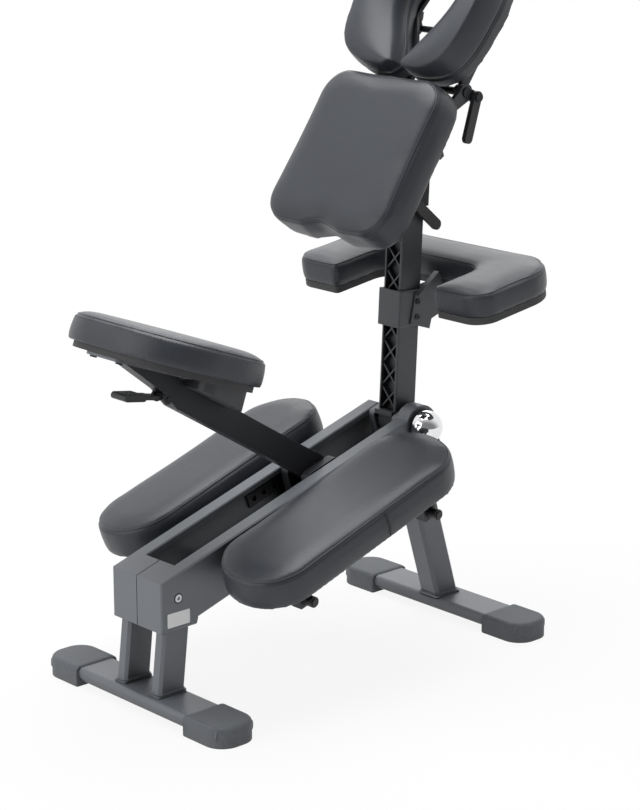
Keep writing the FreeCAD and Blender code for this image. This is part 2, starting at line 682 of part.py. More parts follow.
def sleeve(low, high, back):
    outer = box(-COLUMN_HALF - SLEEVE_WALL, COLUMN_HALF + SLEEVE_WALL, COLUMN_FRONT - SLEEVE_WALL,
                back + SLEEVE_WALL, low, high)
    outer = outer.makeFillet(3.0, [e for e in outer.Edges if abs(e.Length - (high - low)) < 0.01])
    inner = box(-COLUMN_HALF - GAP, COLUMN_HALF + GAP, COLUMN_FRONT - GAP, back + GAP, low - 1.0, high + 1.0)
    return outer.cut(inner)


# Armrest

def armrest_plan():
    half = ARMREST_WIDTH / 2.0
    return [
        (-half, 0.0, 46.0), (-ARMREST_INNER, 0.0, 14.0),
        (-ARMREST_INNER, ARMREST_REACH, 34.0), (ARMREST_INNER, ARMREST_REACH, 34.0),
        (ARMREST_INNER, 0.0, 14.0), (half, 0.0, 46.0),
        (half, ARMREST_DEPTH, 92.0), (-half, ARMREST_DEPTH, 92.0),
    ]


def armrest_parts():
    parts = {}
    plan = armrest_plan()
    bottom = -ARMREST_PAD - ARMREST_BOARD
    pad, board = upholstered(plan, 7.0, bottom, -ARMREST_PAD, 0.0, ARMREST, False)
    parts["armrest_pad"] = pad
    parts["armrest_board"] = board
    parts["armrest_sleeve"] = place(sleeve(SLEEVE_LOW, SLEEVE_HIGH, STRIP_BACK), COLUMN)
    inner_y = ARMREST_FRONT[0] + ARMREST_REACH - 3.0
    far = world(ARMREST, ARMREST_REACH + 62.0, bottom)
    near = world(ARMREST, ARMREST_REACH + 16.0, bottom)
    side = COLUMN_HALF + SLEEVE_WALL
    gusset = across([
        (590.0, 579.0), (638.0, 563.0), (643.0, 581.0), (678.0, 593.0), (far[0], far[1] - 8.0), far, near,
        (inner_y, near[1] - 4.0), (inner_y - 6.0, 658.0), (652.0, 668.0), (602.0, 632.0),
    ], side, side + GUSSET)
    flange = across([(602.0, 632.0), (652.0, 668.0), (654.0, 665.2), (604.0, 629.2)], side, side + FLANGE)
    foot = place(slab(rectangle(70.0, 26.0, 10.0, 0.0, ARMREST_REACH + 42.0), bottom - 4.0, bottom), ARMREST)
    parts["armrest_bracket"] = fuse(both(gusset) + both(flange) + [foot])
    screws = []
    for point in ((607.0, 618.0), (606.0, 590.0)):
        for sign in (1.0, -1.0):
            screws.append((Vector(sign * (side + GUSSET), *point), Vector(sign, 0, 0)))
    parts["armrest_screws"] = group(button_heads(screws, 5.0, 2.5, 0.0, 2.5))
    return parts


# Chest pad

def chest_plan():
    half = CHEST_WIDTH / 2.0
    low = -CHEST_HEIGHT / 2.0
    high = CHEST_HEIGHT / 2.0
    return [
        (-half - 3.0, low, 58.0), (-48.0, low - 5.0, 30.0), (0.0, low + 9.0, 60.0), (48.0, low - 5.0, 30.0),
        (half + 3.0, low, 58.0), (half - 4.0, high, 60.0), (-half + 4.0, high, 60.0),
    ]


def chest_parts():
    parts = {}
    pivot_y, pivot_z = local(COLUMN, CHEST_PIVOT)
    block = sleeve(CHEST_SLEEVE_LOW, CHEST_SLEEVE_HIGH, COLUMN_BACK)
    front = COLUMN_FRONT - SLEEVE_WALL
    lug = across([
        (front + 1.0, CHEST_SLEEVE_LOW + 20.0), (front + 1.0, CHEST_SLEEVE_HIGH),
        (pivot_y + 4.0, pivot_z + 12.0), (pivot_y - 8.0, pivot_z - 9.0),
    ], *LUG_X)
    lug = fuse([lug, rod(13.0, *LUG_X, pivot_y, pivot_z)])
    block = fuse([block] + both(lug)).cut(rod(CHEST_PIN_R, -60.0, 60.0, pivot_y, pivot_z))
    wall = COLUMN_HALF + SLEEVE_WALL
    parts["chest_sleeve"] = place(block, COLUMN).cut(rod(CLAMP_STUD_R, wall - 5.0, wall + 5.0, *CLAMP_HUB))
    collar = rod(COLLAR_R, LUG_X[1] + 0.5, LUG_X[1] + 4.0, *CHEST_PIVOT)
    parts["chest_pin"] = fuse([rod(CHEST_PIN_R - FIT, -30.0, 30.0, *CHEST_PIVOT)] + both(collar))
    parts["clamp_stud"] = fuse([
        rod(CLAMP_STUD_R - FIT, wall - 5.0, wall + 11.0, *CLAMP_HUB),
        rod(CLAMP_STUD_R + 4.0, wall + 9.0, wall + 12.0, *CLAMP_HUB),
    ])
    lever = round_bar(CLAMP_HUB, CLAMP_TIP, 10.0, wall + 1.0, wall + 8.0)
    parts["chest_clamp_lever"] = lever.cut(rod(CLAMP_STUD_R + FIT - 0.02, 0.0, 60.0, *CLAMP_HUB))
    back = CHEST_STANDOFF
    inner = LUG_X[0] - 0.4
    knuckle = fuse([
        rod(12.0, -inner, inner, 0.0, 0.0), box(-inner, inner, -10.0, 10.0, 0.0, back - 4.0),
        slab(rectangle(44.0, 62.0, 12.0), back - 5.0, back),
    ])
    knuckle = knuckle.cut(rod(CHEST_PIN_R, -60.0, 60.0, 0.0, 0.0))
    parts["chest_bracket"] = place(knuckle, CHEST)
    plan = chest_plan()
    board_front = back + CHEST_BOARD
    pad, board = upholstered(plan, 14.0, back, board_front, board_front + CHEST_PAD, CHEST, True)
    parts["chest_pad"] = pad
    parts["chest_board"] = board
    return parts


# Face cradle

# Right half of the horseshoe, from the chin end up to the brow: inner edge, outer edge, then the
# cushion's height at each edge
CRADLE_RIBS = (
    ((6.0, 13.0), (26.0, -4.0), 64.0, 66.0),
    ((15.0, 38.0), (86.0, -3.0), 70.0, 82.0),
    ((28.0, 65.0), (132.0, 24.0), 72.0, 92.0),
    ((48.0, 100.0), (151.0, 86.0), 73.0, 98.0),
    ((63.0, 138.0), (154.0, 148.0), 74.0, 100.0),
    ((59.0, 176.0), (138.0, 216.0), 74.0, 98.0),
    ((36.0, 205.0), (88.0, 274.0), 74.0, 94.0),
    ((16.0, 212.0), (34.0, 291.5), 74.0, 92.4),
    ((0.0, 213.0), (0.0, 294.0), 74.0, 92.0),
)


def cradle_rib(inner, outer, inner_height, outer_height):
    """One cross-section of the cradle cushion: flat underneath, bowed sides and a crowned face."""
    def at(share, height):
        x = inner[0] + share * (outer[0] - inner[0])
        y = inner[1] + share * (outer[1] - inner[1])
        return Vector(x, y + CRADLE_TIP, CRADLE_BACK + CRADLE_DECK + height)
    middle = (inner_height + outer_height) / 2.0
    foot_in, foot_out = at(0.06, 0.0), at(0.93, 0.0)
    brow_in, brow_out = at(0.10, inner_height * 0.90), at(0.95, outer_height * 0.91)
    return Part.Wire([
        Part.LineSegment(foot_in, foot_out).toShape(),
        Part.Arc(foot_out, at(1.0, outer_height * 0.45), brow_out).toShape(),
        Part.Arc(brow_out, at(0.53, middle * 1.04), brow_in).toShape(),
        Part.Arc(brow_in, at(0.0, inner_height * 0.42), foot_in).toShape(),
    ])


def cradle_parts():
    parts = {}
    pivot = local(CHEST, CRADLE_PIVOT)
    cam = local(CHEST, CAM_PIVOT)
    back = CHEST_STANDOFF
    plate_end = CRADLE_PLATE_X + CRADLE_PLATE
    near = plate_end + 4.0
    far = near + CRADLE_PLATE
    support = across([
        (58.0, back), (50.0, -2.0), (46.0, -14.0), (56.0, -18.0), (66.0, -4.0), (88.0, back - 18.0),
        (132.0, back - 22.0), (pivot[0] - 10.0, pivot[1] - 13.0), (pivot[0] + 8.0, pivot[1] + 10.0),
        (132.0, back),
    ], near, far)
    support = fuse([support, rod(15.0, near, far, *pivot), round_bar(pivot, cam, 10.0, near, far)])
    support = support.cut(rod(CRADLE_SHAFT_R, 0.0, 200.0, *pivot)).cut(rod(CAM_PIN_R, 0.0, 200.0, *cam))
    parts["cradle_supports"] = group([place(s, CHEST) for s in both(support)])
    collar = rod(COLLAR_R, far + 0.4, far + 3.0, *CRADLE_PIVOT)
    shaft = fuse([rod(CRADLE_SHAFT_R - FIT, -far - 3.0, far + 3.0, *CRADLE_PIVOT)] + both(collar))
    cam_pin = fuse([
        rod(CAM_PIN_R - FIT, near - 3.0, far + 14.0, *CAM_PIVOT),
        rod(CAM_PIN_R + 3.0, far + 11.5, far + 14.0, *CAM_PIVOT),
        rod(CAM_PIN_R + 3.0, near - 3.0, near - 0.4, *CAM_PIVOT),
    ])
    parts["cradle_shafts"] = group([shaft, cam_pin])
    lever = fuse([
        round_bar(CAM_PIVOT, CAM_TIP, CAM_LEVER_R - 1.5, far + 1.5, far + 10.5),
        rod(CAM_LEVER_R, far + 1.5, far + 10.5, *CAM_PIVOT),
    ])
    parts["cradle_cam_lever"] = lever.cut(rod(CAM_PIN_R, 0.0, 200.0, *CAM_PIVOT))
    plate = across([
        (0.0, -9.0), (136.0, -9.0), (148.0, -3.0), (136.0, 6.0), (52.0, 9.0), (0.0, 9.0),
    ], CRADLE_PLATE_X, plate_end)
    plate = fuse([plate, rod(13.0, CRADLE_PLATE_X, plate_end, 0.0, 0.0)])
    plate = plate.cut(rod(CRADLE_SHAFT_R, 0.0, 200.0, 0.0, 0.0))
    plate = plate.cut(rod(TILT_SHAFT_R, 0.0, 200.0, CRADLE_UPPER, 0.0))
    parts["cradle_yoke"] = group([place(p, CRADLE) for p in both(plate)])
    end = plate_end + 3.0
    collar = rod(COLLAR_R, plate_end + 0.4, end, CRADLE_UPPER, 0.0)
    upper = fuse([rod(TILT_SHAFT_R - FIT, -end, end, CRADLE_UPPER, 0.0)] + both(collar))
    parts["cradle_tilt_shaft"] = place(upper, CRADLE)
    ribs = [cradle_rib(*rib) for rib in CRADLE_RIBS]
    half = Part.makeLoft(ribs, True, False)
    parts["cradle_cushion"] = place(fuse(both(half)), CRADLE)
    deck = cradle_deck()
    ear = across([
        (CRADLE_UPPER - 26.0, CRADLE_BACK), (CRADLE_UPPER - 11.0, -6.0), (CRADLE_UPPER + 11.0, -6.0),
        (CRADLE_UPPER + 26.0, CRADLE_BACK),
    ], CRADLE_PLATE_X - 9.0, CRADLE_PLATE_X - 1.0)
    ear = fuse([ear, rod(12.0, CRADLE_PLATE_X - 9.0, CRADLE_PLATE_X - 1.0, CRADLE_UPPER, 0.0)])
    platform = fuse([deck] + both(ear))
    platform = platform.cut(rod(TILT_SHAFT_R, -200.0, 200.0, CRADLE_UPPER, 0.0))
    parts["cradle_platform"] = place(platform, CRADLE)
    return parts


def cradle_deck():
    """The plate under the cushion: the same horseshoe, a little smaller all round."""
    outer = [
        (28.0, 6.0, 10.0), (104.0, 26.0, 50.0), (128.0, 110.0, 60.0), (118.0, 232.0, 70.0), (60.0, 278.0, 40.0),
    ]
    hole = [(8.0, 34.0, 6.0), (70.0, 136.0, 20.0), (58.0, 202.0, 30.0)]
    ring_out = outer + [(-x, y, r) for x, y, r in reversed(outer)]
    ring_in = hole + [(-x, y, r) for x, y, r in reversed(hole)]
    base = CRADLE_BACK
    plate = slab(ring_out, base, base + CRADLE_DECK).cut(slab(ring_in, base - 1.0, base + CRADLE_DECK + 1.0))
    plate = plate.cut(box(-7.0, 7.0, -20.0, 60.0, base - 1.0, base + CRADLE_DECK + 1.0))
    return place(plate, Placement(Vector(0, CRADLE_TIP, 0), Rotation()))


def main():
    os.makedirs("parts", exist_ok=True)
    parts = {}
    for make in (base_parts, beam_parts, knee_parts, carriage_parts, seat_parts, column_parts,
                 armrest_parts, chest_parts, cradle_parts):
        parts.update(make())
    origin = Placement(Vector(0, -ORIGIN_Y, 0), Rotation())
    whole = FreeCAD.BoundBox()
    for name, shape in parts.items():
        shape = place(shape, origin)
        whole.add(shape.BoundBox)
        print(name, len(shape.Solids), round(shape.Volume), shape.isValid())
        shape.exportStep("parts/" + name + ".step")
    print(len(parts), "nodes", whole)


main()
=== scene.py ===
# %% [markdown]
# # A portable massage chair
# The sitter kneels on two long pads, leans on a chest pad and rests the face in a horseshoe cradle.
# The rigid frame comes from the construction model. This lesson dresses it: stuffed pads, seams,
# stitches, weld beads and finishes. Every length is in metres, +Z is up and the sitter faces +Y.

# %% Load the chair
import json
import math
import bmesh
import bpy
from mathutils import Matrix, Vector


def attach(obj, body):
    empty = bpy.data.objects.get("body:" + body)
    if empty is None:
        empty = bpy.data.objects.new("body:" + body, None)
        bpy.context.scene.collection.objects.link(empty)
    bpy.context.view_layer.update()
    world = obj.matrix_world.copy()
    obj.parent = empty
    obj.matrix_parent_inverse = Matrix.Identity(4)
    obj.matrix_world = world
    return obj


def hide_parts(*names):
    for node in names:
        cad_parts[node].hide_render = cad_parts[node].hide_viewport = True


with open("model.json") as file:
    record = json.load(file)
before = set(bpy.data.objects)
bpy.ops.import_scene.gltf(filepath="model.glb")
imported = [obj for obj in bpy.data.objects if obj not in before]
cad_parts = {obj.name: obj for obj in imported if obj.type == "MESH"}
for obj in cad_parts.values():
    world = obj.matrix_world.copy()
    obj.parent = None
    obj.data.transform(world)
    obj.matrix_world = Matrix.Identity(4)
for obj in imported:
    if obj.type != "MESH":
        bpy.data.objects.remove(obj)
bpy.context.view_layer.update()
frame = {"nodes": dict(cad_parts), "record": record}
nodes = frame["nodes"]
scene = bpy.context.scene

# %% [markdown]
# ## The camera
# The photograph was taken with a long lens from a little above the chair, over the sitter's right
# shoulder. Its place was worked out from the level feet and the upright column, so the render can be
# laid over the photograph.

# %% Camera
CAMERA_PLACE = (3.040, -2.7386, 1.5937)
CAMERA_DOWN = 15.40
CAMERA_TURN = 47.471
CAMERA_LENS = 107.44
CAMERA_REACH = 100.0

lens = bpy.data.cameras.new("photo_lens")
lens.lens = CAMERA_LENS
lens.clip_end = CAMERA_REACH
camera = bpy.data.objects.new("photo_camera", lens)
camera.location = CAMERA_PLACE
camera.rotation_euler = (math.radians(90.0 - CAMERA_DOWN), 0.0, math.radians(CAMERA_TURN))
scene.collection.objects.link(camera)
scene.camera = camera
print("camera at", CAMERA_PLACE)

# %% [markdown]
# ## Shader sums in plain Python
# A material is a graph, and a graph is tiresome to write node by node. This class wraps one output
# socket. Adding, subtracting or multiplying two of them adds the Math nodes. A plain number may stand on
# either side of a plus or a minus, and after a times. Every other node comes from one method, which sets
# the node up first and then feeds it.

# %% A socket that can be used in sums
class Flow:
    """One output socket of a shader graph."""

    def __init__(self, socket):
        self.socket = socket
        self.tree = socket.id_data

    @classmethod
    def node(cls, tree, kind, settings=None, feeds=None, out=0):
        made = tree.nodes.new(kind)
        for name, value in (settings or {}).items():
            if name == "stops":
                cls.set_stops(made.color_ramp, value)
            else:
                setattr(made, name, value)
        for name, value in (feeds or {}).items():
            if isinstance(value, Flow):
                tree.links.new(value.socket, made.inputs[name])
            else:
                made.inputs[name].default_value = value
        return cls(made.outputs[out])

    @staticmethod
    def set_stops(ramp, stops):
        while len(ramp.elements) < len(stops):
            ramp.elements.new(0.5)
        for element, (place, grey) in zip(ramp.elements, stops):
            element.position = place
            element.color = (grey, grey, grey, 1.0)

    def then(self, kind, settings=None, feeds=None, out=0):
        return Flow.node(self.tree, kind, settings, feeds, out)

    def math(self, operation, first, second):
        return self.then("ShaderNodeMath", {"operation": operation}, {0: first, 1: second})

    def __add__(self, other):
        return self.math("ADD", self, other)

    def __radd__(self, other):
        return self.math("ADD", other, self)

    def __sub__(self, other):
        return self.math("SUBTRACT", self, other)

    def __rsub__(self, other):
        return self.math("SUBTRACT", other, self)

    def __mul__(self, other):
        return self.math("MULTIPLY", self, other)

    def ramp(self, *stops):
        return self.then("ShaderNodeValToRGB", {"stops": stops}, {0: self})

    def between(self, low, high):
        """A colour that goes from low to high as this value goes from 0 to 1."""
        return self.then("ShaderNodeMix", {"data_type": "RGBA"}, {0: self, 6: low, 7: high}, 2)


print("shader sums ready")

# %% [markdown]
# ## A blank finish
# Each finish starts from the same shader. Object coordinates are true metres here, because every piece
# sits at the origin with its place in its mesh, so a grain of 1.4 mm is simply a scale of 700 per metre.

# %% Starting a finish
def start_finish(name, settings):
    """A material, its shader and the place in metres that its patterns read."""
    material = bpy.data.materials.new(name)
    material.use_nodes = True
    shader = material.node_tree.nodes["Principled BSDF"]
    for socket, value in settings.items():
        shader.inputs[socket].default_value = value
    place = Flow.node(material.node_tree, "ShaderNodeTexCoord", out="Object")
    return material, shader, place


def feed(shader, **flows):
    names = {"color": "Base Color", "roughness": "Roughness", "normal": "Normal"}
    for name, flow in flows.items():
        flow.tree.links.new(flow.socket, shader.inputs[names[name]])


def noise(place, scale, detail=3.0):
    feeds = {"Vector": place, "Scale": scale, "Detail": detail}
    return place.then("ShaderNodeTexNoise", {}, feeds)


def pebbles(place, scale):
    """Rounded cells, as in leather grain: 0 in the middle of a cell."""
    feeds = {"Vector": place, "Scale": scale, "Smoothness": 0.35}
    return place.then("ShaderNodeTexVoronoi", {"feature": "SMOOTH_F1"}, feeds)


def bump(height, depth, strength, normal=None):
    feeds = {"Height": height, "Distance": depth, "Strength": strength}
    if normal is not None:
        feeds["Normal"] = normal
    return height.then("ShaderNodeBump", {}, feeds)


def edge_wear(place, radius):
    """1 along the sharp edges of a part and 0 on its flats, with the edge's rounded normal."""
    round_normal = place.then("ShaderNodeBevel", {"samples": 4}, {"Radius": radius})
    flat_normal = place.then("ShaderNodeNewGeometry", out="Normal")
    same = place.then("ShaderNodeVectorMath", {"operation": "DOT_PRODUCT"},
                      {0: round_normal, 1: flat_normal}, "Value")
    return (1.0 - same).ramp((0.02, 0.0), (0.22, 1.0)), round_normal


def painted_shade_mask(place, reach):
    """1 deep in a slot or corner and 0 on open faces: the mask for painted shade."""
    open_sky = place.then("ShaderNodeAmbientOcclusion", {"samples": 8}, {"Distance": reach}, "AO")
    return open_sky.ramp((0.30, 1.0), (0.72, 0.0))


print("finish tools ready")

# %% [markdown]
# ## Leather
# The covers are artificial leather, charcoal black with a soft sheen. Up close it has a pebble grain about
# 1.4 mm across, with finer pores between. Broad soft patches keep a large pad from looking like plastic.

# %% Leather finish
LEATHER_DARK = (0.028, 0.031, 0.038, 1.0)
LEATHER_PALE = (0.044, 0.049, 0.059, 1.0)
PATCHES_PER_METRE = 9.0
CREASES_PER_METRE = 60.0
GRAIN_PER_METRE = 700.0
PORES_PER_METRE = 2400.0


def leather_finish():
    material, shader, place = start_finish("charcoal_leather", {"Specular IOR Level": 0.42})
    patches = noise(place, PATCHES_PER_METRE)
    grain = pebbles(place, GRAIN_PER_METRE)
    pores = noise(place, PORES_PER_METRE, 2.0)
    creases = noise(place, CREASES_PER_METRE, 4.0)
    feed(shader, color=(patches * 0.75 + grain * 0.25).between(LEATHER_PALE, LEATHER_DARK),
         roughness=0.31 + patches * 0.10 + grain * 0.06)
    folds = bump(creases, 0.0012, 0.25)
    feed(shader, normal=bump(grain * 0.8 + pores * 0.2, 0.0003, 0.55, folds))
    return material


leather = leather_finish()
print("made", leather.name)

# %% [markdown]
# ## Powder coat
# The frame is sprayed with powder and baked. The surface has a fine orange peel, and the coat thins on
# sharp edges, where it looks a little paler and smoother. The edge mask compares a rounded normal with the
# true one, which finds edges on any shape without painting them by hand. Slots and corners get painted
# shade: a second mask finds them by how little open room a point can see, and darkens the coat there.

# %% Powder coat finishes
# Painted shade: the near-black colour that the coat turns towards deep in slots and corners.
PAINTED_SHADE_COLOUR = (0.008, 0.008, 0.009, 1.0)
SHADE_REACH = 0.10
PAINTED_SHADE_SHARE = 0.93
SPECKLES_PER_METRE = 900.0
CLOUDS_PER_METRE = 14.0
COAT_EDGE = 0.0011


def powder_finish(name, dark, pale, worn, gloss, sheen):
    material, shader, place = start_finish(name, {"Specular IOR Level": sheen})
    speckle = noise(place, SPECKLES_PER_METRE, 2.0)
    cloud = noise(place, CLOUDS_PER_METRE)
    edge, rounded = edge_wear(place, COAT_EDGE)
    coat = (speckle * 0.6 + cloud * 0.4).between(dark, pale)
    # Painted shade: the ambient-occlusion mask darkens the coat in slots and corners.
    coat_with_painted_shade = (painted_shade_mask(place, SHADE_REACH) * PAINTED_SHADE_SHARE).between(coat, PAINTED_SHADE_COLOUR)
    feed(shader, color=(edge * 0.5).between(coat_with_painted_shade, worn),
         roughness=gloss + speckle * 0.16 - edge * 0.10)
    feed(shader, normal=bump(speckle, 0.00016, 0.5, rounded))
    return material


grey_coat = powder_finish("grey_powder_coat", (0.130, 0.139, 0.155, 1.0), (0.178, 0.190, 0.210, 1.0),
                          (0.31, 0.325, 0.35, 1.0), gloss=0.32, sheen=0.5)
black_coat = powder_finish("black_powder_coat", (0.024, 0.025, 0.029, 1.0), (0.038, 0.040, 0.046, 1.0),
                           (0.09, 0.092, 0.098, 1.0), gloss=0.36, sheen=0.24)
deep_coat = powder_finish("deep_grey_powder_coat", (0.062, 0.066, 0.073, 1.0), (0.086, 0.091, 0.100, 1.0),
                          (0.17, 0.178, 0.19, 1.0), gloss=0.34, sheen=0.4)
print("made", grey_coat.name, deep_coat.name, "and", black_coat.name)

# %% [markdown]
# ## Rubber, plastic and board
# The foot sleeves are matt rubber that greys with floor dust near the ground. Levers, plugs and glides
# are moulded plastic with a spark-eroded texture. The boards behind the pads are plywood under black paint,
# so a long faint grain shows through.

# %% Rubber, plastic and board finishes
def rubber_finish():
    material, shader, place = start_finish("foot_rubber", {"Specular IOR Level": 0.35})
    height = place.then("ShaderNodeSeparateXYZ", {}, {0: place}, "Z")
    scuffs = noise(place, 160.0, 5.0)
    dust = (height * 60.0 + scuffs * 0.5).ramp((0.25, 1.0), (0.85, 0.0))
    coat = scuffs.between((0.100, 0.107, 0.118, 1.0), (0.150, 0.160, 0.175, 1.0))
    feed(shader, color=(dust * 0.35).between(coat, (0.16, 0.158, 0.152, 1.0)),
         roughness=0.52 + scuffs * 0.16)
    feed(shader, normal=bump(noise(place, 1300.0, 2.0), 0.0002, 0.5))
    return material


def plastic_finish():
    material, shader, place = start_finish("black_plastic", {"Specular IOR Level": 0.45})
    texture = noise(place, 1600.0, 2.0)
    edge, rounded = edge_wear(place, 0.0009)
    coat = noise(place, 22.0).between((0.020, 0.0205, 0.022, 1.0), (0.036, 0.037, 0.040, 1.0))
    feed(shader, color=(edge * 0.4).between(coat, (0.10, 0.102, 0.108, 1.0)),
         roughness=0.42 + texture * 0.14)
    feed(shader, normal=bump(texture, 0.00012, 0.6, rounded))
    return material


def board_finish():
    material, shader, place = start_finish("painted_plywood", {"Specular IOR Level": 0.35})
    stretched = place.then("ShaderNodeMapping", {}, {"Vector": place, "Scale": (1.0, 9.0, 9.0)})
    fibres = noise(stretched, 55.0, 6.0)
    feed(shader, color=fibres.between((0.045, 0.045, 0.048, 1.0), (0.080, 0.080, 0.083, 1.0)),
         roughness=0.55 + fibres * 0.2, normal=bump(fibres, 0.0003, 0.4))
    return material


rubber = rubber_finish()
plastic = plastic_finish()
board = board_finish()
print("made", rubber.name, plastic.name, board.name)

# %% [markdown]
# ## Bright metal, thread and the blank plate
# The lock knob is polished chrome with faint finger smudges. The pins of the column and the seat, the
# bolts in the front block and the staples are zinc plated, which is duller and slightly patchy. The thread
# is black polyester, and the plate on the block is white film.

# %% Metal, thread and plate finishes
def metal_finish(name, dark, pale, rough, spread, scale):
    material, shader, place = start_finish(name, {"Metallic": 1.0})
    patches = noise(place, scale, 4.0)
    feed(shader, color=patches.between(dark, pale), roughness=rough + patches * spread,
         normal=bump(noise(place, scale * 12.0), 0.00005, 0.3))
    return material


def thread_finish():
    material, shader, place = start_finish("black_thread", {"Specular IOR Level": 0.3})
    twist = noise(place, 1800.0, 2.0)
    feed(shader, color=twist.between((0.010, 0.010, 0.011, 1.0), (0.035, 0.035, 0.038, 1.0)),
         roughness=0.6 + twist * 0.2, normal=bump(twist, 0.0002, 0.5))
    return material


def plate_finish():
    material, shader, place = start_finish("white_film", {"Specular IOR Level": 0.5})
    smears = noise(place, 70.0, 5.0)
    feed(shader, color=smears.between((0.94, 0.94, 0.94, 1.0), (0.97, 0.97, 0.97, 1.0)),
         roughness=0.30 + smears * 0.2, normal=bump(smears, 0.0001, 0.3))
    return material


chrome = metal_finish("polished_chrome", (0.72, 0.73, 0.75, 1.0), (0.86, 0.86, 0.87, 1.0),
                      rough=0.04, spread=0.06, scale=40.0)
zinc = metal_finish("zinc_plated_steel", (0.38, 0.38, 0.40, 1.0), (0.56, 0.56, 0.57, 1.0),
                    rough=0.24, spread=0.16, scale=120.0)
thread = thread_finish()
white_film = plate_finish()
print("made", chrome.name, zinc.name, thread.name, white_film.name)

# %% [markdown]
# ## Dress the rigid parts
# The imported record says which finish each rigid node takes, so a short table from its slots to the
# materials above is enough. The column and the fittings above the beam are sprayed a deeper grey than the
# base. The nodes keep their shapes and places.

# %% Finishes on the rigid nodes
FINISH_OF = {
    "pad_leather": leather, "pad_board": board, "frame_paint": grey_coat, "fitting_paint": deep_coat,
    "black_paint": black_coat, "rubber": rubber, "black_plastic": plastic, "chrome": chrome, "steel": zinc,
    "white_plate": white_film,
}
for entry in frame["record"]["subparts"]:
    mesh = nodes[entry["node"]].data
    mesh.materials.clear()
    mesh.materials.append(FINISH_OF[entry["material_slot"]])

# %% Mesh tools
def shown_mesh(thing):
    """A plain mesh of an object as its modifiers show it."""
    graph = bpy.context.evaluated_depsgraph_get()
    return bpy.data.meshes.new_from_object(thing.evaluated_get(graph), depsgraph=graph)


def new_object(name, data):
    thing = bpy.data.objects.new(name, data)
    scene.collection.objects.link(thing)
    return thing


def bake_down(thing):
    """Replaces an object's mesh and modifiers by the mesh that they show."""
    bpy.context.view_layer.update()
    mesh = shown_mesh(thing)
    thing.modifiers.clear()
    old = thing.data
    thing.data = mesh
    bpy.data.meshes.remove(old)
    return thing


def carry(thing, body, finish):
    thing.data.materials.clear()
    thing.data.materials.append(finish)
    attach(thing, body)


def smooth(mesh):
    mesh.polygons.foreach_set("use_smooth", [True] * len(mesh.polygons))
    mesh.update()


print("mesh tools ready")

# %% [markdown]
# ## Stuffed pads
# Each pad is foam under a stretched cover. Modelling that by hand gives a block, so the cover is
# simulated: the pad's solid is remeshed into an even skin, drawn in a little, and blown up as cloth with
# its flat base held still. The swelling is capped, so the pad keeps its real size, and spread out, so the
# cover stays taut. One subdivision smooths it.

# %% Cloth tools
MERGE = 1e-5
TINY = 1e-9
VOXEL = 0.0042
DRAWN_IN = 0.003
HELD_BASE = 0.012
PRESSURE = 4.0
COVER_STIFFNESS = 2.0
LAST_FRAME = 20
SPREAD_ROUNDS = 30


def heights(mesh, up):
    return [vertex.co.dot(up) for vertex in mesh.vertices]


def remeshed_skin(node, name, up):
    """An even skin over a pad's solid, drawn in along its normals, with its base kept level."""
    mesh = nodes[node].data.copy()
    work = bmesh.new()
    work.from_mesh(mesh)
    bmesh.ops.remove_doubles(work, verts=work.verts, dist=MERGE)
    work.to_mesh(mesh)
    work.free()
    skin = new_object(name, mesh)
    even = skin.modifiers.new("even", "REMESH")
    even.mode = "VOXEL"
    even.voxel_size = VOXEL
    bake_down(skin)
    levels = heights(skin.data, up)
    floor = min(levels)
    moves = [vertex.normal * DRAWN_IN for vertex in skin.data.vertices]
    for vertex, level, move in zip(skin.data.vertices, levels, moves):
        vertex.co -= move if level > floor + HELD_BASE else move - up * move.dot(up)
    return skin


def blow_up(skin, up, cap):
    """Simulates the cover under pressure and keeps each point within cap of its start."""
    start = [vertex.co.copy() for vertex in skin.data.vertices]
    levels = heights(skin.data, up)
    floor = min(levels)
    held = skin.vertex_groups.new(name="held")
    held.add([i for i, level in enumerate(levels) if level < floor + HELD_BASE], 1.0, "REPLACE")
    cloth = skin.modifiers.new("cover", "CLOTH")
    cloth.settings.vertex_group_mass = "held"
    cloth.settings.use_pressure = True
    cloth.settings.uniform_pressure_force = PRESSURE
    cloth.settings.effector_weights.gravity = 0.0
    cloth.settings.bending_stiffness = COVER_STIFFNESS
    cloth.point_cache.frame_start = 1
    cloth.point_cache.frame_end = LAST_FRAME
    for number in range(1, LAST_FRAME + 1):
        scene.frame_set(number)
    bake_down(skin)
    moves = [vertex.co - before for vertex, before in zip(skin.data.vertices, start)]
    moves = [move * min(1.0, cap / max(move.length, TINY)) for move in moves]
    for vertex, before, move in zip(skin.data.vertices, start, spread_out(skin.data, moves)):
        vertex.co = before + move
    scene.frame_set(1)


def spread_out(mesh, moves):
    """Averages each point's move with its neighbours' moves, so that the swelling has no wrinkles."""
    around = [[] for _ in moves]
    for edge in mesh.edges:
        a, b = edge.vertices
        around[a].append(b)
        around[b].append(a)
    for _ in range(SPREAD_ROUNDS):
        sums = [sum((moves[j] for j in near), moves[i]) for i, near in enumerate(around)]
        moves = [total / (len(near) + 1) for total, near in zip(sums, around)]
    return moves


def even_out(mesh, rounds, up):
    """Averages each point with its neighbours, above the held base."""
    work = bmesh.new()
    work.from_mesh(mesh)
    floor = min(vertex.co.dot(up) for vertex in work.verts)
    free = [vertex for vertex in work.verts if vertex.co.dot(up) > floor + HELD_BASE]
    for _ in range(rounds):
        bmesh.ops.smooth_vert(work, verts=free, factor=0.5,
                              use_axis_x=True, use_axis_y=True, use_axis_z=True)
    work.to_mesh(mesh)
    work.free()


print("cloth tools ready")

# %% [markdown]
# ## Slicing for seams
# A seam runs round a pad at one height above its board. Cutting the finished skin with a plane gives that
# line exactly on the surface, whatever shape the pad has. The same cut finds where a weld runs round a leg.

# %% Slices as closed paths
SAME_POINT = 1e-6
FEWEST_POINTS = 8


